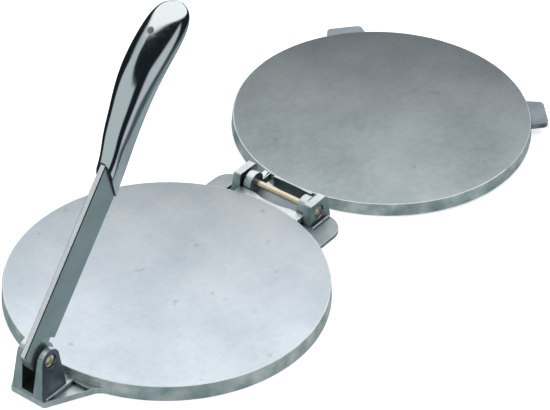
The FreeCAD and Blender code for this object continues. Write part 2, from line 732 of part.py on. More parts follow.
def grip():
    sections = []
    for number, row in enumerate(gripShares):
        along, half, back, band, crown = gripSection(row)
        upperHalf = half - band * tangent(gripDraftAngle)
        sketch = newSketch(lever, f"GripSection{number}", "YZ_Plane", along)
        closedOutline(sketch, [
            (-half, back),
            (half, back),
            (upperHalf, back + band, zero, crown),
            (-upperHalf, back + band)])
        sections.append(sketch)
    feature = lever.newObject("PartDesign::AdditiveLoft", "Grip")
    feature.Profile = sections[0]
    feature.Sections = [(sketch, [""]) for sketch in sections[1:]]

    sections = []
    for number, row in enumerate(gripShares[1:-3]):
        along, half, back = gripSection(row)[:3]
        sketch = newSketch(lever, f"HollowSection{number}", "YZ_Plane", along)
        inside = half - gripWall
        closedOutline(sketch, [
            (-inside, back - overrun),
            (inside, back - overrun),
            (inside, back + gripHollow),
            (-inside, back + gripHollow)])
        sections.append(sketch)
    feature = lever.newObject("PartDesign::SubtractiveLoft", "GripHollow")
    feature.Profile = sections[0]
    feature.Sections = [(sketch, [""]) for sketch in sections[1:]]

    # The handle begins at a slanting, slightly hollow step, further back along its rear edge
    slope = (gripApex - gripStart) / (barFront - barBack)
    below = barBack - gripBand
    above = barFront + gripBand
    sketch = newSketch(lever, "StepOutline", "XZ_Plane")
    closedOutline(sketch, [
        (gripStart - gripBand - overrun, below),
        (gripStart + (below - barBack) * slope, below),
        (gripStart, barBack, (gripStart + gripApex) / 2 - stepBow, (barBack + barFront) / 2 + stepBow),
        (gripApex, barFront),
        (gripStart + (above - barBack) * slope, above),
        (gripStart - gripBand - overrun, above)])
    pocket(lever, "Step", sketch, 2 * (gripHalf + overrun), symmetric=True)


# The bar is a wedge, wide at its back. Its front half runs on under the slanting step.
def bar():
    step = gripApex - gripStart
    barRunShare = 0.6
    frontRunShare = 1.2
    middle = (barBack + barFront) / 2
    middleHalf = (barBackHalf + barFrontHalf) / 2
    sketch = newSketch(lever, "BarSection", "YZ_Plane", -eyeRadius)
    closedOutline(sketch, [
        (-barBackHalf, barBack),
        (barBackHalf, barBack),
        (barFrontHalf, barFront),
        (-barFrontHalf, barFront)])
    pad(lever, "Bar", sketch, eyeRadius + gripStart + step * barRunShare)
    sketch = newSketch(lever, "BarFrontSection", "YZ_Plane", gripStart)
    closedOutline(sketch, [
        (-middleHalf, middle),
        (middleHalf, middle),
        (barFrontHalf, barFront),
        (-barFrontHalf, barFront)])
    pad(lever, "BarFront", sketch, step * frontRunShare)

    sketch = newSketch(lever, "ShoulderOutline", "XZ_Plane", eyeHalf)
    below = barBack - overrun
    above = barFront + overrun
    closedOutline(sketch, [
        (-(eyeRadius + overrun), below),
        (shoulderRadius, below),
        (shoulderRadius, zero, shoulderRadius * math.sqrt(0.5), shoulderRadius * math.sqrt(0.5)),
        (zero, shoulderRadius),
        (-(eyeRadius + overrun), shoulderRadius)])
    side = pocket(lever, "Shoulder", sketch, barBackHalf + overrun, reverse=True)
    mirror(lever, "OtherShoulder", [side], "XZ_Plane")

    sketch = newSketch(lever, "NoseOutline", "XZ_Plane")
    closedOutline(sketch, [
        (-(eyeRadius + overrun), below),
        (-eyeRadius, below),
        (eyeRadius * cosine(noseAngle), eyeRadius * sine(noseAngle)),
        (-noseDrop, barFront),
        (-noseDrop, above),
        (-(eyeRadius + overrun), above)])
    pocket(lever, "Nose", sketch, 2 * (eyeHalf + overrun), symmetric=True)


def eye():
    sketch = newSketch(lever, "EyeOutline", "XZ_Plane")
    circle(sketch, (zero, zero), eyeRadius)
    pad(lever, "Eye", sketch, 2 * eyeHalf, symmetric=True)
    sketch = newSketch(lever, "EyeHole", "XZ_Plane")
    circle(sketch, (zero, zero), leverPinRadius + pinPlay)
    pocket(lever, "EyeBore", sketch, 2 * (eyeHalf + overrun), symmetric=True)
    sketch = newSketch(lever, "HangHoleOutline", "XY_Plane", gripArch + gripDepth + overrun)
    circle(sketch, (hangHoleReach, zero), hangHoleRadius)
    pocket(lever, "HangHole", sketch, 2 * (gripArch + gripDepth))


grip()
bar()
eye()
placeAt(lever, -pivotReach, pivotHeight, FreeCAD.Vector(0, -1, 0), leverAngle)


# Pins: a straight shank with both ends closed into low round heads in their sunk seats

def rivet(label, shank, seat, head, reach, height):
    body = newBody(label)
    sketch = newSketch(body, "PinSection", "XY_Plane")
    crownHalf = head / 2
    closedOutline(sketch, [
        (zero, -(seat + headHeight)),
        (crownHalf, -(seat + headHeight)),
        (head, -(seat + headHeight / 3)),
        (head, -seat),
        (shank, -seat),
        (shank, seat),
        (head, seat),
        (head, seat + headHeight / 3),
        (crownHalf, seat + headHeight),
        (zero, seat + headHeight)])
    turned(body, "Pin", sketch, "Y_Axis")
    placeAt(body, reach, height, FreeCAD.Vector(0, 1, 0), zero)
    return body


hingePin = rivet("hinge_pin", hingePinRadius, hingeSeat, hingeHeadRadius, hingeReach, hingeHeight)
leverPin = rivet("lever_pin", leverPinRadius, clevisSeat + pinPlay, leverHeadRadius, -pivotReach, pivotHeight)


# Check every feature before anything is written

doc.recompute()
faults = []
cutKinds = ("PartDesign::Pocket", "PartDesign::SubtractiveLoft")
for item in doc.Objects:
    if "Invalid" in item.State or "Error" in item.State:
        faults.append(f"{item.Name}: {item.State}")
    elif item.TypeId in cutKinds and item.Shape.Volume >= item.BaseFeature.Shape.Volume:
        faults.append(f"{item.Name} cuts nothing")
pieces = [basePlate, topPlate, lever, hingePin, leverPin]
for piece in pieces:
    shape = piece.Shape
    if shape.isNull() or not shape.isValid() or len(shape.Solids) != 1:
        faults.append(f"{piece.Label}: no single valid solid")
if faults:
    raise RuntimeError("; ".join(faults))

os.makedirs("parts", exist_ok=True)
for piece in pieces:
    piece.Shape.exportStep(f"parts/{piece.Label}.step")
    box = piece.Shape.BoundBox
    print(piece.Label, "volume", round(piece.Shape.Volume), "x", round(box.XMin, 2), round(box.XMax, 2),
          "y", round(box.YMin, 2), round(box.YMax, 2), "z", round(box.ZMin, 2), round(box.ZMax, 2))
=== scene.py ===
import json
import math
import bmesh
import bpy
from mathutils import Matrix, Vector


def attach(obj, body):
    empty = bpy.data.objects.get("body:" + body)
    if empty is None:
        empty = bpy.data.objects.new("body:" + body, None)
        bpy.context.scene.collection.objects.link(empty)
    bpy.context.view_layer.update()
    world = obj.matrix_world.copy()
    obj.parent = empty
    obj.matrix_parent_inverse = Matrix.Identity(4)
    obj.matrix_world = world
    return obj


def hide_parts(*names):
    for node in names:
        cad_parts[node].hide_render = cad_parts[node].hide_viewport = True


mm = 0.001

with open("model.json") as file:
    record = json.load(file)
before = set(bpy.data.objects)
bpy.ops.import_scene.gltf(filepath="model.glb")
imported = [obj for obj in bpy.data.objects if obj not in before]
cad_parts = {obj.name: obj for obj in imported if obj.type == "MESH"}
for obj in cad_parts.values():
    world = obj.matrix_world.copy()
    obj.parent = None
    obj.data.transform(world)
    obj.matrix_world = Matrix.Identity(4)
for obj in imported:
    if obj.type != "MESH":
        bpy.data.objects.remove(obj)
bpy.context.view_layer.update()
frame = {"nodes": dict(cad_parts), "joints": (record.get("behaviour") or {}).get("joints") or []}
print("frame loaded")


# Shared helpers

def linear(code):  # sRGB hex to linear colour
    values = [int(code[start:start + 2], 16) / 255 for start in (1, 3, 5)]
    return [value / 12.92 if value <= 0.04045 else ((value + 0.055) / 1.055) ** 2.4
            for value in values] + [1.0]


def grey(value):
    return [value, value, value, 1.0]


def addNode(tree, kind, inputs=None, **settings):
    node = tree.nodes.new("ShaderNode" + kind)
    for name, value in settings.items():
        setattr(node, name, value)
    for socket, value in (inputs or {}).items():
        if isinstance(value, bpy.types.NodeSocket):
            tree.links.new(value, node.inputs[socket])
        else:
            node.inputs[socket].default_value = value
    return node


def newMaterial(name):
    material = bpy.data.materials.new(name)
    material.use_nodes = True
    tree = material.node_tree
    tree.nodes.clear()
    place = addNode(tree, "TexCoord").outputs["Object"]
    return material, tree, place


def closeMaterial(tree, inputs):
    surface = addNode(tree, "BsdfPrincipled", inputs)
    addNode(tree, "OutputMaterial", {"Surface": surface.outputs["BSDF"]})


def assign(piece, parts, choose):  # parts holds the materials by name, in the order of the slots
    piece.data.materials.clear()
    for material in parts.values():
        piece.data.materials.append(material)
    names = list(parts)
    for face in piece.data.polygons:
        face.material_index = names.index(choose(face))


def keepMesh(form, name):
    mesh = bpy.data.meshes.new(name)
    form.to_mesh(mesh)
    form.free()
    piece = bpy.data.objects.new(name, mesh)
    bpy.context.scene.collection.objects.link(piece)
    return piece


# Camera, at the photograph's place

cameraSet = {
    "place": Vector((-0.70574, -0.58239, 0.73769)),
    "heading": math.radians(36.21),  # towards +X and +Y
    "dip": math.radians(36.72),
    "roll": math.radians(1.66),
    "lens": 152.48,
    "sensor": 36.0}


def makeCamera():
    heading, dip, roll = cameraSet["heading"], cameraSet["dip"], cameraSet["roll"]
    forward = Vector((
        math.cos(heading) * math.cos(dip), math.sin(heading) * math.cos(dip), -math.sin(dip)))
    side = Vector((math.sin(heading), -math.cos(heading), 0))
    up = side.cross(forward)
    right = side * math.cos(roll) + up * math.sin(roll)
    top = up * math.cos(roll) - side * math.sin(roll)
    turn = Matrix((right, top, -forward)).transposed().to_4x4()
    data = bpy.data.cameras.new("camera")
    data.lens = cameraSet["lens"]
    data.sensor_width = cameraSet["sensor"]
    camera = bpy.data.objects.new("camera", data)
    camera.matrix_world = Matrix.Translation(cameraSet["place"]) @ turn
    bpy.context.scene.collection.objects.link(camera)
    bpy.context.scene.camera = camera


# Studio: a white sweep behind and overhead, and on the camera's side a dark room with three light
# panels in it, over a dim floor. The press stands on a white board that its metal doesn't reflect.

studioSet = {
    "sweep": 1.15,
    "room": "#1A2126",
    "roomMiddle": (math.radians(-165), math.radians(-52.5)),  # heading and rise
    "roomEdge": -0.478,
    "edgeSoft": 0.04,
    "lowFloor": "#4C5C60",
    "lowEdge": (math.radians(-34), math.radians(-24)),
    "board": "#F4F5F6",
    "boardRough": 0.9,
    "boardGloss": 0.1,
    "boardGlow": 0.68,
    "boardHalf": 6.0}
panelSet = [  # in degrees; the slant tips the upper edge
    {"heading": 169, "halfWidth": 53, "low": -27, "high": 38, "slant": 0.42, "soft": 4,
     "colour": "#C0CACD"},
    {"heading": 105, "halfWidth": 14, "low": 26, "high": 62, "slant": 0.0, "soft": 6,
     "colour": "#B9C4C7"},
    {"heading": -80, "halfWidth": 22, "low": -40, "high": 9, "slant": 0.0, "soft": 5,
     "colour": "#C6C9D0"}]


def direction(heading, rise):
    return (math.cos(heading) * math.cos(rise), math.sin(heading) * math.cos(rise), math.sin(rise))


def panelMask(tree, way, rise, panel):
    middle, wide, low, high, fade = [
        math.radians(panel[name]) for name in ("heading", "halfWidth", "low", "high", "soft")]
    turned = addNode(
        tree, "VectorRotate", {"Vector": way, "Angle": -middle}, rotation_type="Z_AXIS")
    split = addNode(tree, "SeparateXYZ", {0: turned.outputs[0]})
    heading = addNode(
        tree, "Math", {0: split.outputs["Y"], 1: split.outputs["X"]}, operation="ARCTAN2")
    aside = addNode(tree, "Math", {0: heading.outputs[0]}, operation="ABSOLUTE")
    slanted = addNode(
        tree, "Math", {0: heading.outputs[0], 1: panel["slant"], 2: rise}, operation="MULTIPLY_ADD")
    masks = []
    for value, start, end in (
            (aside.outputs[0], wide + fade, wide - fade),
            (slanted.outputs[0], high + fade, high - fade),
            (rise, low - fade, low + fade)):
        mask = addNode(tree, "MapRange", {
            "Value": value, "From Min": start, "From Max": end}, interpolation_type="SMOOTHSTEP")
        masks.append(mask.outputs[0])
    level = addNode(tree, "Math", {0: masks[1], 1: masks[2]}, operation="MULTIPLY")
    whole = addNode(tree, "Math", {0: masks[0], 1: level.outputs[0]}, operation="MULTIPLY")
    return whole.outputs[0]


def makeStudio():
    world = bpy.data.worlds.new("studio")
    bpy.context.scene.world = world
    world.use_nodes = True
    tree = world.node_tree
    tree.nodes.clear()
    way = addNode(tree, "TexCoord").outputs["Generated"]
    split = addNode(tree, "SeparateXYZ", {0: way})
    rise = addNode(tree, "Math", {0: split.outputs["Z"]}, operation="ARCSINE").outputs[0]
    colour = linear(studioSet["room"])
    for panel in panelSet:
        mask = panelMask(tree, way, rise, panel)
        colour = addNode(tree, "Mix", {
            0: mask, 6: colour, 7: linear(panel["colour"])}, data_type="RGBA").outputs[2]
    toRoom = addNode(tree, "VectorMath", {
        0: way, 1: direction(*studioSet["roomMiddle"])}, operation="DOT_PRODUCT")
    inRoom = addNode(tree, "MapRange", {
        "Value": toRoom.outputs["Value"],
        "From Min": studioSet["roomEdge"] - studioSet["edgeSoft"],
        "From Max": studioSet["roomEdge"] + studioSet["edgeSoft"]}, interpolation_type="SMOOTHSTEP")
    around = addNode(tree, "Mix", {
        0: inRoom.outputs[0], 6: grey(studioSet["sweep"]), 7: colour}, data_type="RGBA")
    lowFrom, lowTo = studioSet["lowEdge"]
    above = addNode(tree, "MapRange", {
        "Value": rise, "From Min": lowFrom, "From Max": lowTo}, interpolation_type="SMOOTHSTEP")
    whole = addNode(tree, "Mix", {
        0: above.outputs[0], 6: linear(studioSet["lowFloor"]), 7: around.outputs[2]},
        data_type="RGBA")
    glow = addNode(tree, "Background", {"Color": whole.outputs[2], "Strength": 1.0})
    addNode(tree, "OutputWorld", {"Surface": glow.outputs[0]})

    form = bmesh.new()
    bmesh.ops.create_grid(form, x_segments=1, y_segments=1, size=studioSet["boardHalf"])
    floor = keepMesh(form, "floor")
    material, tree = newMaterial("matt white board")[:2]
    closeMaterial(tree, {
        "Base Color": linear(studioSet["board"]), "Roughness": studioSet["boardRough"],
        "Specular IOR Level": studioSet["boardGloss"],
        "Emission Color": grey(1.0), "Emission Strength": studioSet["boardGlow"]})
    floor.data.materials.append(material)
    floor.visible_glossy = False
    bpy.context.scene.view_settings.view_transform = "Standard"


# A casting: a copy of the solid with its edges broken

edgeSet = {
    "merge": 0.002 * mm,
    "flat": math.radians(0.4),
    "sharp": math.radians(28),
    "shortest": 1.2 * mm,
    "normalWeight": 80}


def solidForm(node):
    form = bmesh.new()
    form.from_mesh(frame["nodes"][node].data)
    bmesh.ops.remove_doubles(form, verts=form.verts, dist=edgeSet["merge"])
    bmesh.ops.dissolve_limit(
        form, angle_limit=edgeSet["flat"], use_dissolve_boundaries=False, verts=form.verts,
        edges=form.edges)
    return form


# Only outer corners are broken, and none that is shorter or beside a narrower face than given
def breakEdges(form, edgeRound, segments, shortest, narrowest=0.0):
    sharp = [
        edge for edge in form.edges if edge.is_manifold and edge.is_convex
        and edge.calc_length() > shortest and edge.calc_face_angle() > edgeSet["sharp"]
        and min(face.calc_area() for face in edge.link_faces) > narrowest * edge.calc_length()]
    bmesh.ops.bevel(
        form, geom=sharp, offset=edgeRound, offset_type="OFFSET", segments=segments, profile=0.5,
        affect="EDGES", clamp_overlap=False, material=-1, loop_slide=True)


def cutAcross(form, point, normal, keepOuter):
    cut = bmesh.ops.bisect_plane(
        form, geom=form.verts[:] + form.edges[:] + form.faces[:], plane_co=point, plane_no=normal,
        clear_inner=keepOuter, clear_outer=not keepOuter)
    return [item for item in cut["geom_cut"] if isinstance(item, bmesh.types.BMEdge)]


def smoothShade(piece, degrees):
    piece.data.shade_smooth()
    piece.data.set_sharp_from_angle(angle=math.radians(degrees))
    even = piece.modifiers.new("evenNormals", "WEIGHTED_NORMAL")
    even.keep_sharp = True
    even.weight = edgeSet["normalWeight"]


# Cast aluminium turned flat on a lathe: satin, with faint clouds from wiping and small grey marks,
# and painted shade across the face, lighter on the near side and darker on the far. Lengths of the
# patterns are in mm.

noiseSpan = (0.3, 0.7)  # where most of a noise lies
# near and far are the painted shade's colour factors on the near and far side of each face.
lowerFaceSet = {
    "light": "#D5DDE4", "dark": "#BCC6CE", "cloud": 45.0, "mottle": 3.5, "rough": 0.42,
    "middle": 0.0, "near": 1.2, "far": 0.62}
upperFaceSet = {
    "light": "#A9B2B4", "dark": "#8A9498", "cloud": 55.0, "mottle": 3.5, "rough": 0.45,
    "middle": 187.0, "near": 1.15, "far": 0.42}
turnedSet = {
    "mottleShare": 0.35, "spread": (0.35, 0.65), "roughSpread": 0.05,
    "paintedShadeWay": (0.807, 0.591, 0.0), "reach": 82.5,
    "mark": 9.0, "markSpan": (0.66, 0.76), "markDepth": 0.3,
    "bump": 0.12, "bumpHeight": 0.05 * mm}


def turnedFace(name, given):
    material, tree, place = newMaterial(name)
    cloud = addNode(tree, "TexNoise", {
        "Vector": place, "Scale": 1 / (given["cloud"] * mm), "Detail": 4.0, "Roughness": 0.55})
    mottle = addNode(tree, "TexNoise", {
        "Vector": place, "Scale": 1 / (given["mottle"] * mm), "Detail": 3.0, "Roughness": 0.6})
    both = addNode(tree, "Mix", {
        0: turnedSet["mottleShare"], 2: cloud.outputs["Fac"], 3: mottle.outputs["Fac"]})
    low, high = turnedSet["spread"]
    spread = addNode(tree, "MapRange", {
        "Value": both.outputs[0], "From Min": low, "From Max": high})
    colour = addNode(tree, "Mix", {
        0: spread.outputs[0], 6: linear(given["dark"]), 7: linear(given["light"])},
        data_type="RGBA")
    # Painted shade: the colour is scaled from the near factor to the far factor along one way
    # across the face.
    across = addNode(tree, "VectorMath", {
        0: place, 1: turnedSet["paintedShadeWay"]}, operation="DOT_PRODUCT")
    middle = given["middle"] * turnedSet["paintedShadeWay"][0]
    paintedFade = addNode(tree, "MapRange", {
        "Value": across.outputs["Value"],
        "From Min": (middle - turnedSet["reach"]) * mm,
        "From Max": (middle + turnedSet["reach"]) * mm,
        "To Min": given["near"], "To Max": given["far"]})
    mark = addNode(tree, "TexNoise", {
        "Vector": place, "Scale": 1 / (turnedSet["mark"] * mm), "Detail": 5.0})
    low, high = turnedSet["markSpan"]
    marked = addNode(tree, "MapRange", {
        "Value": mark.outputs["Fac"], "From Min": low, "From Max": high,
        "To Min": 1.0, "To Max": 1 - turnedSet["markDepth"]})
    shade = addNode(tree, "Math", {
        0: paintedFade.outputs[0], 1: marked.outputs[0]}, operation="MULTIPLY")
    whole = addNode(tree, "VectorMath", {
        0: colour.outputs[2], "Scale": shade.outputs[0]}, operation="SCALE")
    rough = addNode(tree, "MapRange", {
        "Value": mottle.outputs["Fac"], "From Min": noiseSpan[0], "From Max": noiseSpan[1],
        "To Min": given["rough"] - turnedSet["roughSpread"],
        "To Max": given["rough"] + turnedSet["roughSpread"]})
    bump = addNode(tree, "Bump", {
        "Height": mottle.outputs["Fac"], "Strength": turnedSet["bump"],
        "Distance": turnedSet["bumpHeight"]})
    closeMaterial(tree, {
        "Base Color": whole.outputs[0], "Metallic": 1.0, "Roughness": rough.outputs[0],
        "Normal": bump.outputs[0]})
    return material


# Cast aluminium as it leaves the tumbler: finely pitted, keeping its colour on the open faces, with
# painted shade in its corners, where ambient occlusion mixes the colour towards near-black. Rims
# and lips are duller than the crests, the flanks are painted dark as shade and dark reflection, and
# the clevis's slot is painted near-black brown as shade.

castSet = {
    "crest": {"light": "#E2E8EA", "dark": "#C6D0D4", "metal": 1.0, "rough": 0.34},
    "lip": {"light": "#ABB4BA", "dark": "#949FA5", "metal": 0.85, "rough": 0.42},
    "rim": {"light": "#D6DFDA", "dark": "#86A2A7", "metal": 0.40, "rough": 0.40},
    # The flanks' dark colour is painted shade and painted dark reflection on side faces.
    "shadedFlank": {"light": "#7A858D", "dark": "#4E5A66", "metal": 0.9, "rough": 0.38},
    # The pocket's near-black brown is painted shade inside the clevis's slot.
    "shadedPocket": {"light": "#3A3432", "dark": "#1C1A1B", "metal": 0.3, "rough": 0.60},
    "tab": {"light": "#949EA5", "dark": "#7C868D", "metal": 0.85, "rough": 0.42},
    "post": {"light": "#A3B5B8", "dark": "#7F9497", "metal": 0.5, "rough": 0.40}}
# The corner colour is the near-black of the painted shade in corners, mixed in by ambient
# occlusion.
castDetail = {
    "patch": 12.0, "spread": (0.32, 0.68),
    "corner": "#1E2629", "reach": 3.0, "shadeSpan": (0.30, 0.80),
    "pit": 0.8, "bump": 0.2, "bumpHeight": 0.08 * mm}


def castSkin(name, given):
    material, tree, place = newMaterial(name)
    patch = addNode(tree, "TexNoise", {
        "Vector": place, "Scale": 1 / (castDetail["patch"] * mm), "Detail": 4.0, "Roughness": 0.6})
    low, high = castDetail["spread"]
    spread = addNode(tree, "MapRange", {
        "Value": patch.outputs["Fac"], "From Min": low, "From Max": high})
    pit = addNode(tree, "TexNoise", {
        "Vector": place, "Scale": 1 / (castDetail["pit"] * mm), "Detail": 2.0})
    colour = addNode(tree, "Mix", {
        0: spread.outputs[0], 6: linear(given["dark"]), 7: linear(given["light"])},
        data_type="RGBA")
    # Painted shade: the colour is mixed towards near-black where ambient occlusion finds faces
    # close by.
    corner = addNode(tree, "AmbientOcclusion", {
        "Distance": castDetail["reach"] * mm}, samples=8, only_local=True)
    low, high = castDetail["shadeSpan"]
    outsideShade = addNode(tree, "MapRange", {
        "Value": corner.outputs["AO"], "From Min": low, "From Max": high})
    whole = addNode(tree, "Mix", {
        0: outsideShade.outputs[0], 6: linear(castDetail["corner"]), 7: colour.outputs[2]},
        data_type="RGBA")
    bump = addNode(tree, "Bump", {
        "Height": pit.outputs["Fac"], "Strength": castDetail["bump"],
        "Distance": castDetail["bumpHeight"]})
    closeMaterial(tree, {
        "Base Color": whole.outputs[2], "Metallic": given["metal"], "Roughness": given["rough"],
        "Normal": bump.outputs[0]})
    return material


# Cast aluminium, hand polished on a mop: mirror bright with a slight haze and slow waves

polishedSet = {
    "tint": "#DCE2E4", "rough": 0.11, "haze": 1.5, "hazeLess": 0.03, "hazeMore": 0.05,
    "wave": 16.0, "bump": 0.2, "bumpHeight": 0.2 * mm}


def polishedCasting():
    material, tree, place = newMaterial("mop polished aluminium")
    wave = addNode(tree, "TexNoise", {
        "Vector": place, "Scale": 1 / (polishedSet["wave"] * mm), "Detail": 2.0})
    haze = addNode(tree, "TexNoise", {
        "Vector": place, "Scale": 1 / (polishedSet["haze"] * mm), "Detail": 3.0})
    rough = addNode(tree, "MapRange", {
        "Value": haze.outputs["Fac"], "From Min": noiseSpan[0], "From Max": noiseSpan[1],
        "To Min": polishedSet["rough"] - polishedSet["hazeLess"],
        "To Max": polishedSet["rough"] + polishedSet["hazeMore"]})
    bump = addNode(tree, "Bump", {
        "Height": wave.outputs["Fac"], "Strength": polishedSet["bump"],
        "Distance": polishedSet["bumpHeight"]})
    closeMaterial(tree, {
        "Base Color": linear(polishedSet["tint"]), "Metallic": 1.0, "Roughness": rough.outputs[0],
        "Normal": bump.outputs[0]})
    return material


# Cast aluminium, linished on a belt: the bar's sides are satin and its front strip is brighter; the
# edge between them is painted near-black as dark reflection, and the step below the handle as
# shade.
# The band along the handle's side is the lightest of the satin faces.

linishSet = {
    "side": {"light": "#A8BBBB", "dark": "#839A9C", "metal": 0.85, "rough": 0.34},
    "strip": {"light": "#F4F6F7", "dark": "#DADFE2", "metal": 0.1, "rough": 0.36},
    # The edge colour is near-black painted shade and painted dark reflection.
    "edge": {"light": "#3A4245", "dark": "#23292C", "metal": 0.5, "rough": 0.50},
    "band": {"light": "#D2E2E2", "dark": "#AFC4C6", "metal": 0.80, "rough": 0.32}}
linishPatch = 10.0


def patchColour(tree, place, patch, given):
    noise = addNode(tree, "TexNoise", {
        "Vector": place, "Scale": 1 / (patch * mm), "Detail": 3.0})
    return addNode(tree, "Mix", {
        0: noise.outputs["Fac"], 6: linear(given["dark"]), 7: linear(given["light"])},
        data_type="RGBA").outputs[2]


def linished(name, given):
    material, tree, place = newMaterial(name)
    closeMaterial(tree, {
        "Base Color": patchColour(tree, place, linishPatch, given), "Metallic": given["metal"],
        "Roughness": given["rough"]})
    return material


# Steel wire, zinc plated: gone slightly yellow, with a dull shine

pinSet = {"light": "#F0E6CC", "dark": "#D2C4A2", "patch": 3.0, "rough": 0.3}


def platedSteel():
    material, tree, place = newMaterial("zinc plated steel")
    closeMaterial(tree, {
        "Base Color": patchColour(tree, place, pinSet["patch"], pinSet), "Metallic": 1.0,
        "Roughness": pinSet["rough"]})
    return material


# Plates, and which of their faces are turned, or are rims, lips, posts and tabs, or are flanks and
# pockets painted dark as shade

plateSet = {
    "edgeRound": 0.3 * mm, "segments": 2, "narrowest": 0.45 * mm, "smoothTo": 32,
    "upperCentre": 187.0 * mm, "rimRadius": 81.6 * mm, "lipHeight": 5.5 * mm,
    "clevisX": -84.0 * mm, "slotHalf": 5.2 * mm, "slotTop": 29 * mm, "slotSlack": 0.01 * mm,
    "footHeight": 4.4 * mm, "webX": 106 * mm, "webHalf": 13 * mm,
    "faceShare": 0.5,  # the turned face is over this share of the largest
    # and how squarely a face looks one way, 1 being dead square
    "faceUp": 0.9, "lipUp": 0.95, "wallUp": 0.6, "rimOut": 0.75, "webFront": 0.9, "earSide": 0.9,
    "clevisSide": 0.8, "slotFront": 0.5}


def clevisPart(centre, normal):
    outwards = centre.y * normal.y
    above = centre.z > plateSet["footHeight"]
    # Faces inside the clevis's slot get the near-black pocket colour: painted shade.
    inSlot = abs(centre.y) < plateSet["slotHalf"] and outwards < plateSet["slotSlack"]
    if inSlot and above and centre.z < plateSet["slotTop"] and normal.x > -plateSet["slotFront"]:
        return "shadedPocket"
    # The clevis's outer sides get the dark flank colour: painted shade.
    if outwards > 0 and abs(normal.y) > plateSet["clevisSide"] and above:
        return "shadedFlank"
    if abs(normal.z) < plateSet["wallUp"]:
        return "post" if above else "rim"
    return "crest"


def wallPart(centre, normal, outwards, clevis):
    # Hinge-web fronts and the inward sides of the ears get the dark flank colour: painted shade.
    if abs(outwards) > plateSet["rimOut"]:
        web = not clevis and normal.x < -plateSet["webFront"] and centre.x < plateSet["webX"]
        return "shadedFlank" if web and abs(centre.y) < plateSet["webHalf"] else "rim"
    if abs(normal.y) < plateSet["earSide"]:
        return "crest"
    return "post" if centre.y * normal.y > 0 else "shadedFlank"


def castingParts(piece, centreX, clevis):
    widest = max(face.area for face in piece.data.polygons)

    def choose(face):
        centre, normal = face.center, face.normal
        if face.area > plateSet["faceShare"] * widest and normal.z > plateSet["faceUp"]:
            return "face"
        if clevis and centre.x < plateSet["clevisX"]:
            return clevisPart(centre, normal)
        radius = math.hypot(centre.x - centreX, centre.y)
        if radius <= plateSet["rimRadius"]:
            return "crest"
        if abs(normal.z) < plateSet["wallUp"]:
            outwards = (normal.x * (centre.x - centreX) + normal.y * centre.y) / radius
            return wallPart(centre, normal, outwards, clevis)
        onLip = centre.z < plateSet["lipHeight"] if clevis else centre.x > centreX
        if onLip and normal.z > plateSet["lipUp"]:
            return "lip" if clevis else "tab"
        return "crest"
    return choose


def makePlates(skins):
    lowerFace = turnedFace("turned face of the lower plate", lowerFaceSet)
    upperFace = turnedFace("turned face of the upper plate", upperFaceSet)
    for node, body, name, face, centreX, narrowest in (
            ("base_plate", "base", "lowerCasting", lowerFace, 0.0, plateSet["narrowest"]),
            ("top_plate", "top_plate", "upperCasting", upperFace, plateSet["upperCentre"], 0.0)):
        form = solidForm(node)
        breakEdges(
            form, plateSet["edgeRound"], plateSet["segments"], edgeSet["shortest"], narrowest)
        piece = keepMesh(form, name)
        smoothShade(piece, plateSet["smoothTo"])
        parts = {"crest": skins["crest"], "face": face, **skins}
        assign(piece, parts, castingParts(piece, centreX, node == "base_plate"))
        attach(piece, body)
        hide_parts(node)


# Lever: the handle's shell is a row of rings, closed at the tip and cut off along the slanting
# step. The bar is the casting's own, cut off just before that step and run on into the handle.
# From the pin, along runs up the lever, level runs square to it towards its front, and across is
# square to the step.

leverSet = {
    "edgeRound": 0.55 * mm, "segments": 3, "longEdge": 4 * mm, "smoothTo": 34,
    "lean": math.radians(51.9),
    "stepBack": 83.2 * mm, "stepFront": 95.4 * mm, "barBack": 0.1 * mm, "barFront": 11.8 * mm,
    "cutBefore": 1.3 * mm, "runOn": 4.0 * mm, "stripShare": 0.9, "edgeLevel": 10 * mm,
    # and how squarely a face looks one way
    "stripTurn": 0.9, "edgeSide": (0.2, 0.93), "edgeTurn": 0.31}
gripSet = {
    "length": 95.4 * mm, "half": 9.3 * mm, "arch": 7.7 * mm, "band": 4.7 * mm, "depth": 15.5 * mm,
    "draft": math.tan(math.radians(15)), "wall": 2.6 * mm,
    "hollow": 3.6 * mm, "hollowEnds": (0.134, 0.858), "hollowFade": 2.0 * mm,
    "lipRound": 0.5 * mm, "bandRound": 0.5 * mm, "tipRound": 0.8 * mm,
    "holeAlong": 161.6 * mm, "holeRadius": 1.9 * mm,
    # how its rings are divided
    "rings": 96, "tipRings": 4, "arcPoints": 30, "arcFrom": 3, "lipSteps": 3, "bandSteps": 5,
    "roofShares": (0.0, 0.5, 0.9), "wallShares": (0.85, 0.15), "lipShare": 0.4,
    "leastInside": 0.3, "cornerShare": 0.45, "holeSides": 40, "cutterLong": 4,
    # and how its faces are told apart
    "bandFaces": range(9, 15), "stepTurn": 0.95, "holeNear": 1.02, "holeTurn": 0.3}
gripSkins = ("polished", "band", "strip", "edge")  # the handle's materials and the bar's, in order
barSkins = ("side", "strip", "edge")
gripRows = (  # shares of the length, half width, arch of the back, side band and depth
    (-0.034, 0.667, 0.030, 1.000, 0.755),
    (0.134, 0.688, 0.208, 1.000, 0.700),
    (0.260, 0.775, 0.545, 0.930, 0.800),
    (0.386, 0.865, 0.830, 0.800, 0.850),
    (0.512, 0.950, 1.000, 0.600, 0.925),
    (0.637, 1.000, 0.945, 0.365, 0.985),
    (0.763, 1.000, 0.680, 0.150, 1.000),
    (0.858, 0.950, 0.440, 0.080, 0.968),
    (0.935, 0.785, 0.325, 0.070, 0.835),
    (0.981, 0.500, 0.351, 0.050, 0.570),
    (1.000, 0.200, 0.470, 0.050, 0.240))


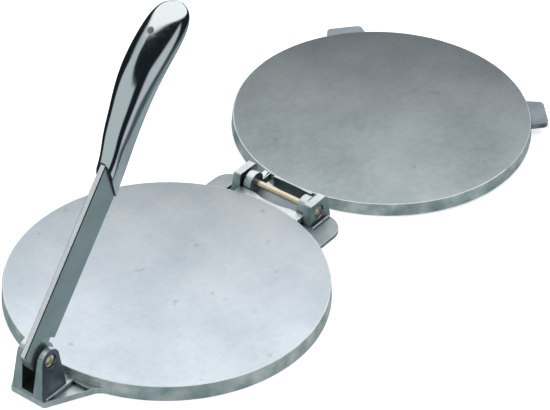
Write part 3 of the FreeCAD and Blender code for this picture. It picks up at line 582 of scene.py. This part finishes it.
def smoothCurve(keys, values):  # natural cubic spline through the values
    count = len(keys)
    gaps = [keys[i + 1] - keys[i] for i in range(count - 1)]
    share, rest = [0.0] * count, [0.0] * count
    for i in range(1, count - 1):
        slopeAfter = (values[i + 1] - values[i]) / gaps[i]
        slopeBefore = (values[i] - values[i - 1]) / gaps[i - 1]
        pivot = 2 * (gaps[i - 1] + gaps[i]) - gaps[i - 1] * share[i - 1]
        share[i] = gaps[i] / pivot
        rest[i] = (3 * (slopeAfter - slopeBefore) - gaps[i - 1] * rest[i - 1]) / pivot
    curve = [0.0] * count
    for i in range(count - 2, 0, -1):
        curve[i] = rest[i] - share[i] * curve[i + 1]

    def at(key):
        i = max(0, min(count - 2, sum(1 for item in keys[1:] if item < key)))
        out, gap = key - keys[i], gaps[i]
        slope = (values[i + 1] - values[i]) / gap - gap * (curve[i + 1] + 2 * curve[i]) / 3
        bend = curve[i] + out * (curve[i + 1] - curve[i]) / (3 * gap)
        return values[i] + out * (slope + out * bend)
    return at


def roundCorner(before, corner, after, reach, steps):
    first, last = [
        corner + (end - corner).normalized() * min(
            reach, (end - corner).length * gripSet["cornerShare"]) for end in (before, after)]
    shares = [step / steps for step in range(steps + 1)]
    return [first * (1 - t) ** 2 + corner * 2 * t * (1 - t) + last * t ** 2 for t in shares]


# One ring of the handle, from the middle of its hollow over the lip and the side band to the crest
def gripSection(half, back, band, depth, hollow):
    given = gripSet
    top = half - band * given["draft"]
    rise = depth - band
    radius = (top * top + rise * rise) / (2 * rise)
    middle = back + depth - radius
    reach = math.atan2(top, back + band - middle)
    inside = max(half - given["wall"], given["leastInside"] * half)
    lip = Vector((half, back))
    shoulder = Vector((top, back + band))
    turns = [reach * (1 - step / given["arcPoints"]) for step in range(given["arcPoints"] + 1)]
    arc = [Vector((radius * math.sin(turn), middle + radius * math.cos(turn)))
           for turn in turns[given["arcFrom"]:]]
    points = [Vector((inside * share, back + hollow)) for share in given["roofShares"]]
    points += [Vector((inside, back + hollow * share)) for share in given["wallShares"]]
    points.append(Vector((inside + given["lipShare"] * (half - inside), back)))
    points += roundCorner(points[-1], lip, shoulder, given["lipRound"], given["lipSteps"])
    points += roundCorner(lip, shoulder, arc[0], given["bandRound"], given["bandSteps"])
    points += arc
    return points + [Vector((-point.x, point.y)) for point in reversed(points[1:-1])]


def makeGrip(pivot, along, level):
    scale = [gripSet[name] for name in ("length", "half", "arch", "band", "depth")]
    rows = [[share * size for share, size in zip(row, scale)] for row in gripRows]
    shoulders = [(out, half, back + depth) for out, half, back, band, depth in rows]
    keys = [0.0]
    for one, two in zip(shoulders, shoulders[1:]):
        keys.append(keys[-1] + math.dist(one, two))
    curves = [smoothCurve(keys, column) for column in zip(*rows)]
    start, end = [share * gripSet["length"] for share in gripSet["hollowEnds"]]
    sideways = Vector((0, 1, 0))
    form = bmesh.new()

    def addRing(points, out):
        foot = pivot + along * (leverSet["stepBack"] + out)
        return [form.verts.new(foot + sideways * point.x + level * point.y) for point in points]

    rings = []
    for step in range(gripSet["rings"] + 1):
        key = keys[-1] * step / gripSet["rings"]
        out, half, back, band, depth = [curve(key) for curve in curves]
        fade = min((out - start) / gripSet["hollowFade"], (end - out) / gripSet["hollowFade"], 1.0)
        section = gripSection(half, back, band, depth, gripSet["hollow"] * max(fade, 0.0))
        rings.append(addRing(section, out))
    middle = Vector((0, back + depth / 2))
    for step in range(1, gripSet["tipRings"] + 1):  # the last section shrinks to close the tip
        turn = math.pi / 2 * step / (gripSet["tipRings"] + 1)
        shrunk = [middle + (point - middle) * math.cos(turn) for point in section]
        rings.append(addRing(shrunk, out + gripSet["tipRound"] * math.sin(turn)))
    for one, two in zip(rings, rings[1:]):
        count = len(one)
        for index in range(count):
            after = (index + 1) % count
            face = form.faces.new((one[index], one[after], two[after], two[index]))
            onBand = min(index, count - 1 - index) in gripSet["bandFaces"]
            face.material_index = gripSkins.index("band" if onBand else "polished")
    form.faces.new(rings[-1])
    return form


def makeBar(corner, across, along):
    form = solidForm("lever")
    rim = cutAcross(form, corner - across * leverSet["cutBefore"], across, False)
    cap = bmesh.ops.holes_fill(form, edges=rim, sides=0)["faces"]
    grown = bmesh.ops.extrude_face_region(form, geom=cap)["geom"]
    bmesh.ops.delete(form, geom=cap, context="FACES_ONLY")
    bmesh.ops.translate(
        form, verts=[item for item in grown if isinstance(item, bmesh.types.BMVert)],
        vec=along * leverSet["runOn"])
    bmesh.ops.recalc_face_normals(form, faces=form.faces)
    breakEdges(form, leverSet["edgeRound"], leverSet["segments"], leverSet["longEdge"])
    return form


def cutHole(piece, pivot, along, level):
    form = bmesh.new()
    place = Matrix.Translation(pivot + along * gripSet["holeAlong"] + level * gripSet["depth"])
    place = place @ level.to_track_quat("Z", "Y").to_matrix().to_4x4()
    bmesh.ops.create_cone(
        form, cap_ends=True, segments=gripSet["holeSides"], radius1=gripSet["holeRadius"],
        radius2=gripSet["holeRadius"], depth=gripSet["cutterLong"] * gripSet["depth"],
        matrix=place)
    cutter = keepMesh(form, "cutter")
    hole = piece.modifiers.new("hole", "BOOLEAN")
    hole.operation = "DIFFERENCE"
    hole.solver = "EXACT"
    hole.object = cutter
    bpy.context.view_layer.update()
    finished = piece.evaluated_get(bpy.context.evaluated_depsgraph_get())
    mesh = bpy.data.meshes.new_from_object(finished)
    piece.modifiers.clear()
    piece.data = mesh
    bpy.data.objects.remove(cutter)


def makeLever(skins):
    joint = [item for item in frame["joints"] if item["name"] == "lever_hinge"][0]
    pivot = Vector(joint["pos_m"])
    along = Vector((math.cos(leverSet["lean"]), 0, math.sin(leverSet["lean"])))
    level = Vector((-math.sin(leverSet["lean"]), 0, math.cos(leverSet["lean"])))
    stepLong = leverSet["stepFront"] - leverSet["stepBack"]
    stepHigh = leverSet["barFront"] - leverSet["barBack"]
    across = (along * stepHigh - level * stepLong).normalized()
    corner = pivot + along * leverSet["stepBack"] + level * leverSet["barBack"]

    form = makeGrip(pivot, along, level)
    bmesh.ops.edgeloop_fill(form, edges=cutAcross(form, corner, across, True))
    bmesh.ops.recalc_face_normals(form, faces=form.faces)
    handle = keepMesh(form, "leverHandle")
    for name in gripSkins:
        handle.data.materials.append(skins[name])
    cutHole(handle, pivot, along, level)
    for face in handle.data.polygons:
        out = face.center - pivot
        toHole = math.hypot(out.dot(along) - gripSet["holeAlong"], out.y)
        inHole = toHole < gripSet["holeNear"] * gripSet["holeRadius"]
        # The step's face below the handle gets the near-black edge colour: painted shade.
        if face.normal.dot(across) < -gripSet["stepTurn"]:
            face.material_index = gripSkins.index("edge")
        # The hole's walls get the near-white strip colour: painted light, standing in for light
        # through the hole.
        elif inHole and abs(face.normal.dot(level)) < gripSet["holeTurn"]:
            face.material_index = gripSkins.index("strip")

    def barPart(face):
        turn, height = face.normal.dot(level), (face.center - pivot).dot(level)
        front = height > leverSet["stripShare"] * leverSet["barFront"]
        if front and turn > leverSet["stripTurn"]:
            return "strip"
        least, most = leverSet["edgeSide"]
        # Bevels beside the front strip get the near-black edge colour: painted dark reflection.
        if least < abs(face.normal.y) < most and turn > leverSet["edgeTurn"]:
            return "edge" if height > leverSet["edgeLevel"] else "side"
        return "side"

    bar = keepMesh(makeBar(corner, across, along), "leverBar")
    assign(bar, {name: skins[name] for name in barSkins}, barPart)
    for piece in (handle, bar):
        smoothShade(piece, leverSet["smoothTo"])
        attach(piece, "lever")
        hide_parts("lever")


def makePins(steel):
    for node in ("hinge_pin", "lever_pin"):
        mesh = frame["nodes"][node].data
        mesh.materials.clear()
        mesh.materials.append(steel)
        mesh.shade_smooth()


makeCamera()
makeStudio()
print("camera and studio made")
makePlates({
    part: castSkin("tumbled cast aluminium, " + part, given) for part, given in castSet.items()})
print("plates made")
makeLever({"polished": polishedCasting(), **{
    part: linished("linished aluminium, " + part, given) for part, given in linishSet.items()}})
print("lever made")
makePins(platedSteel())
print("pins made")
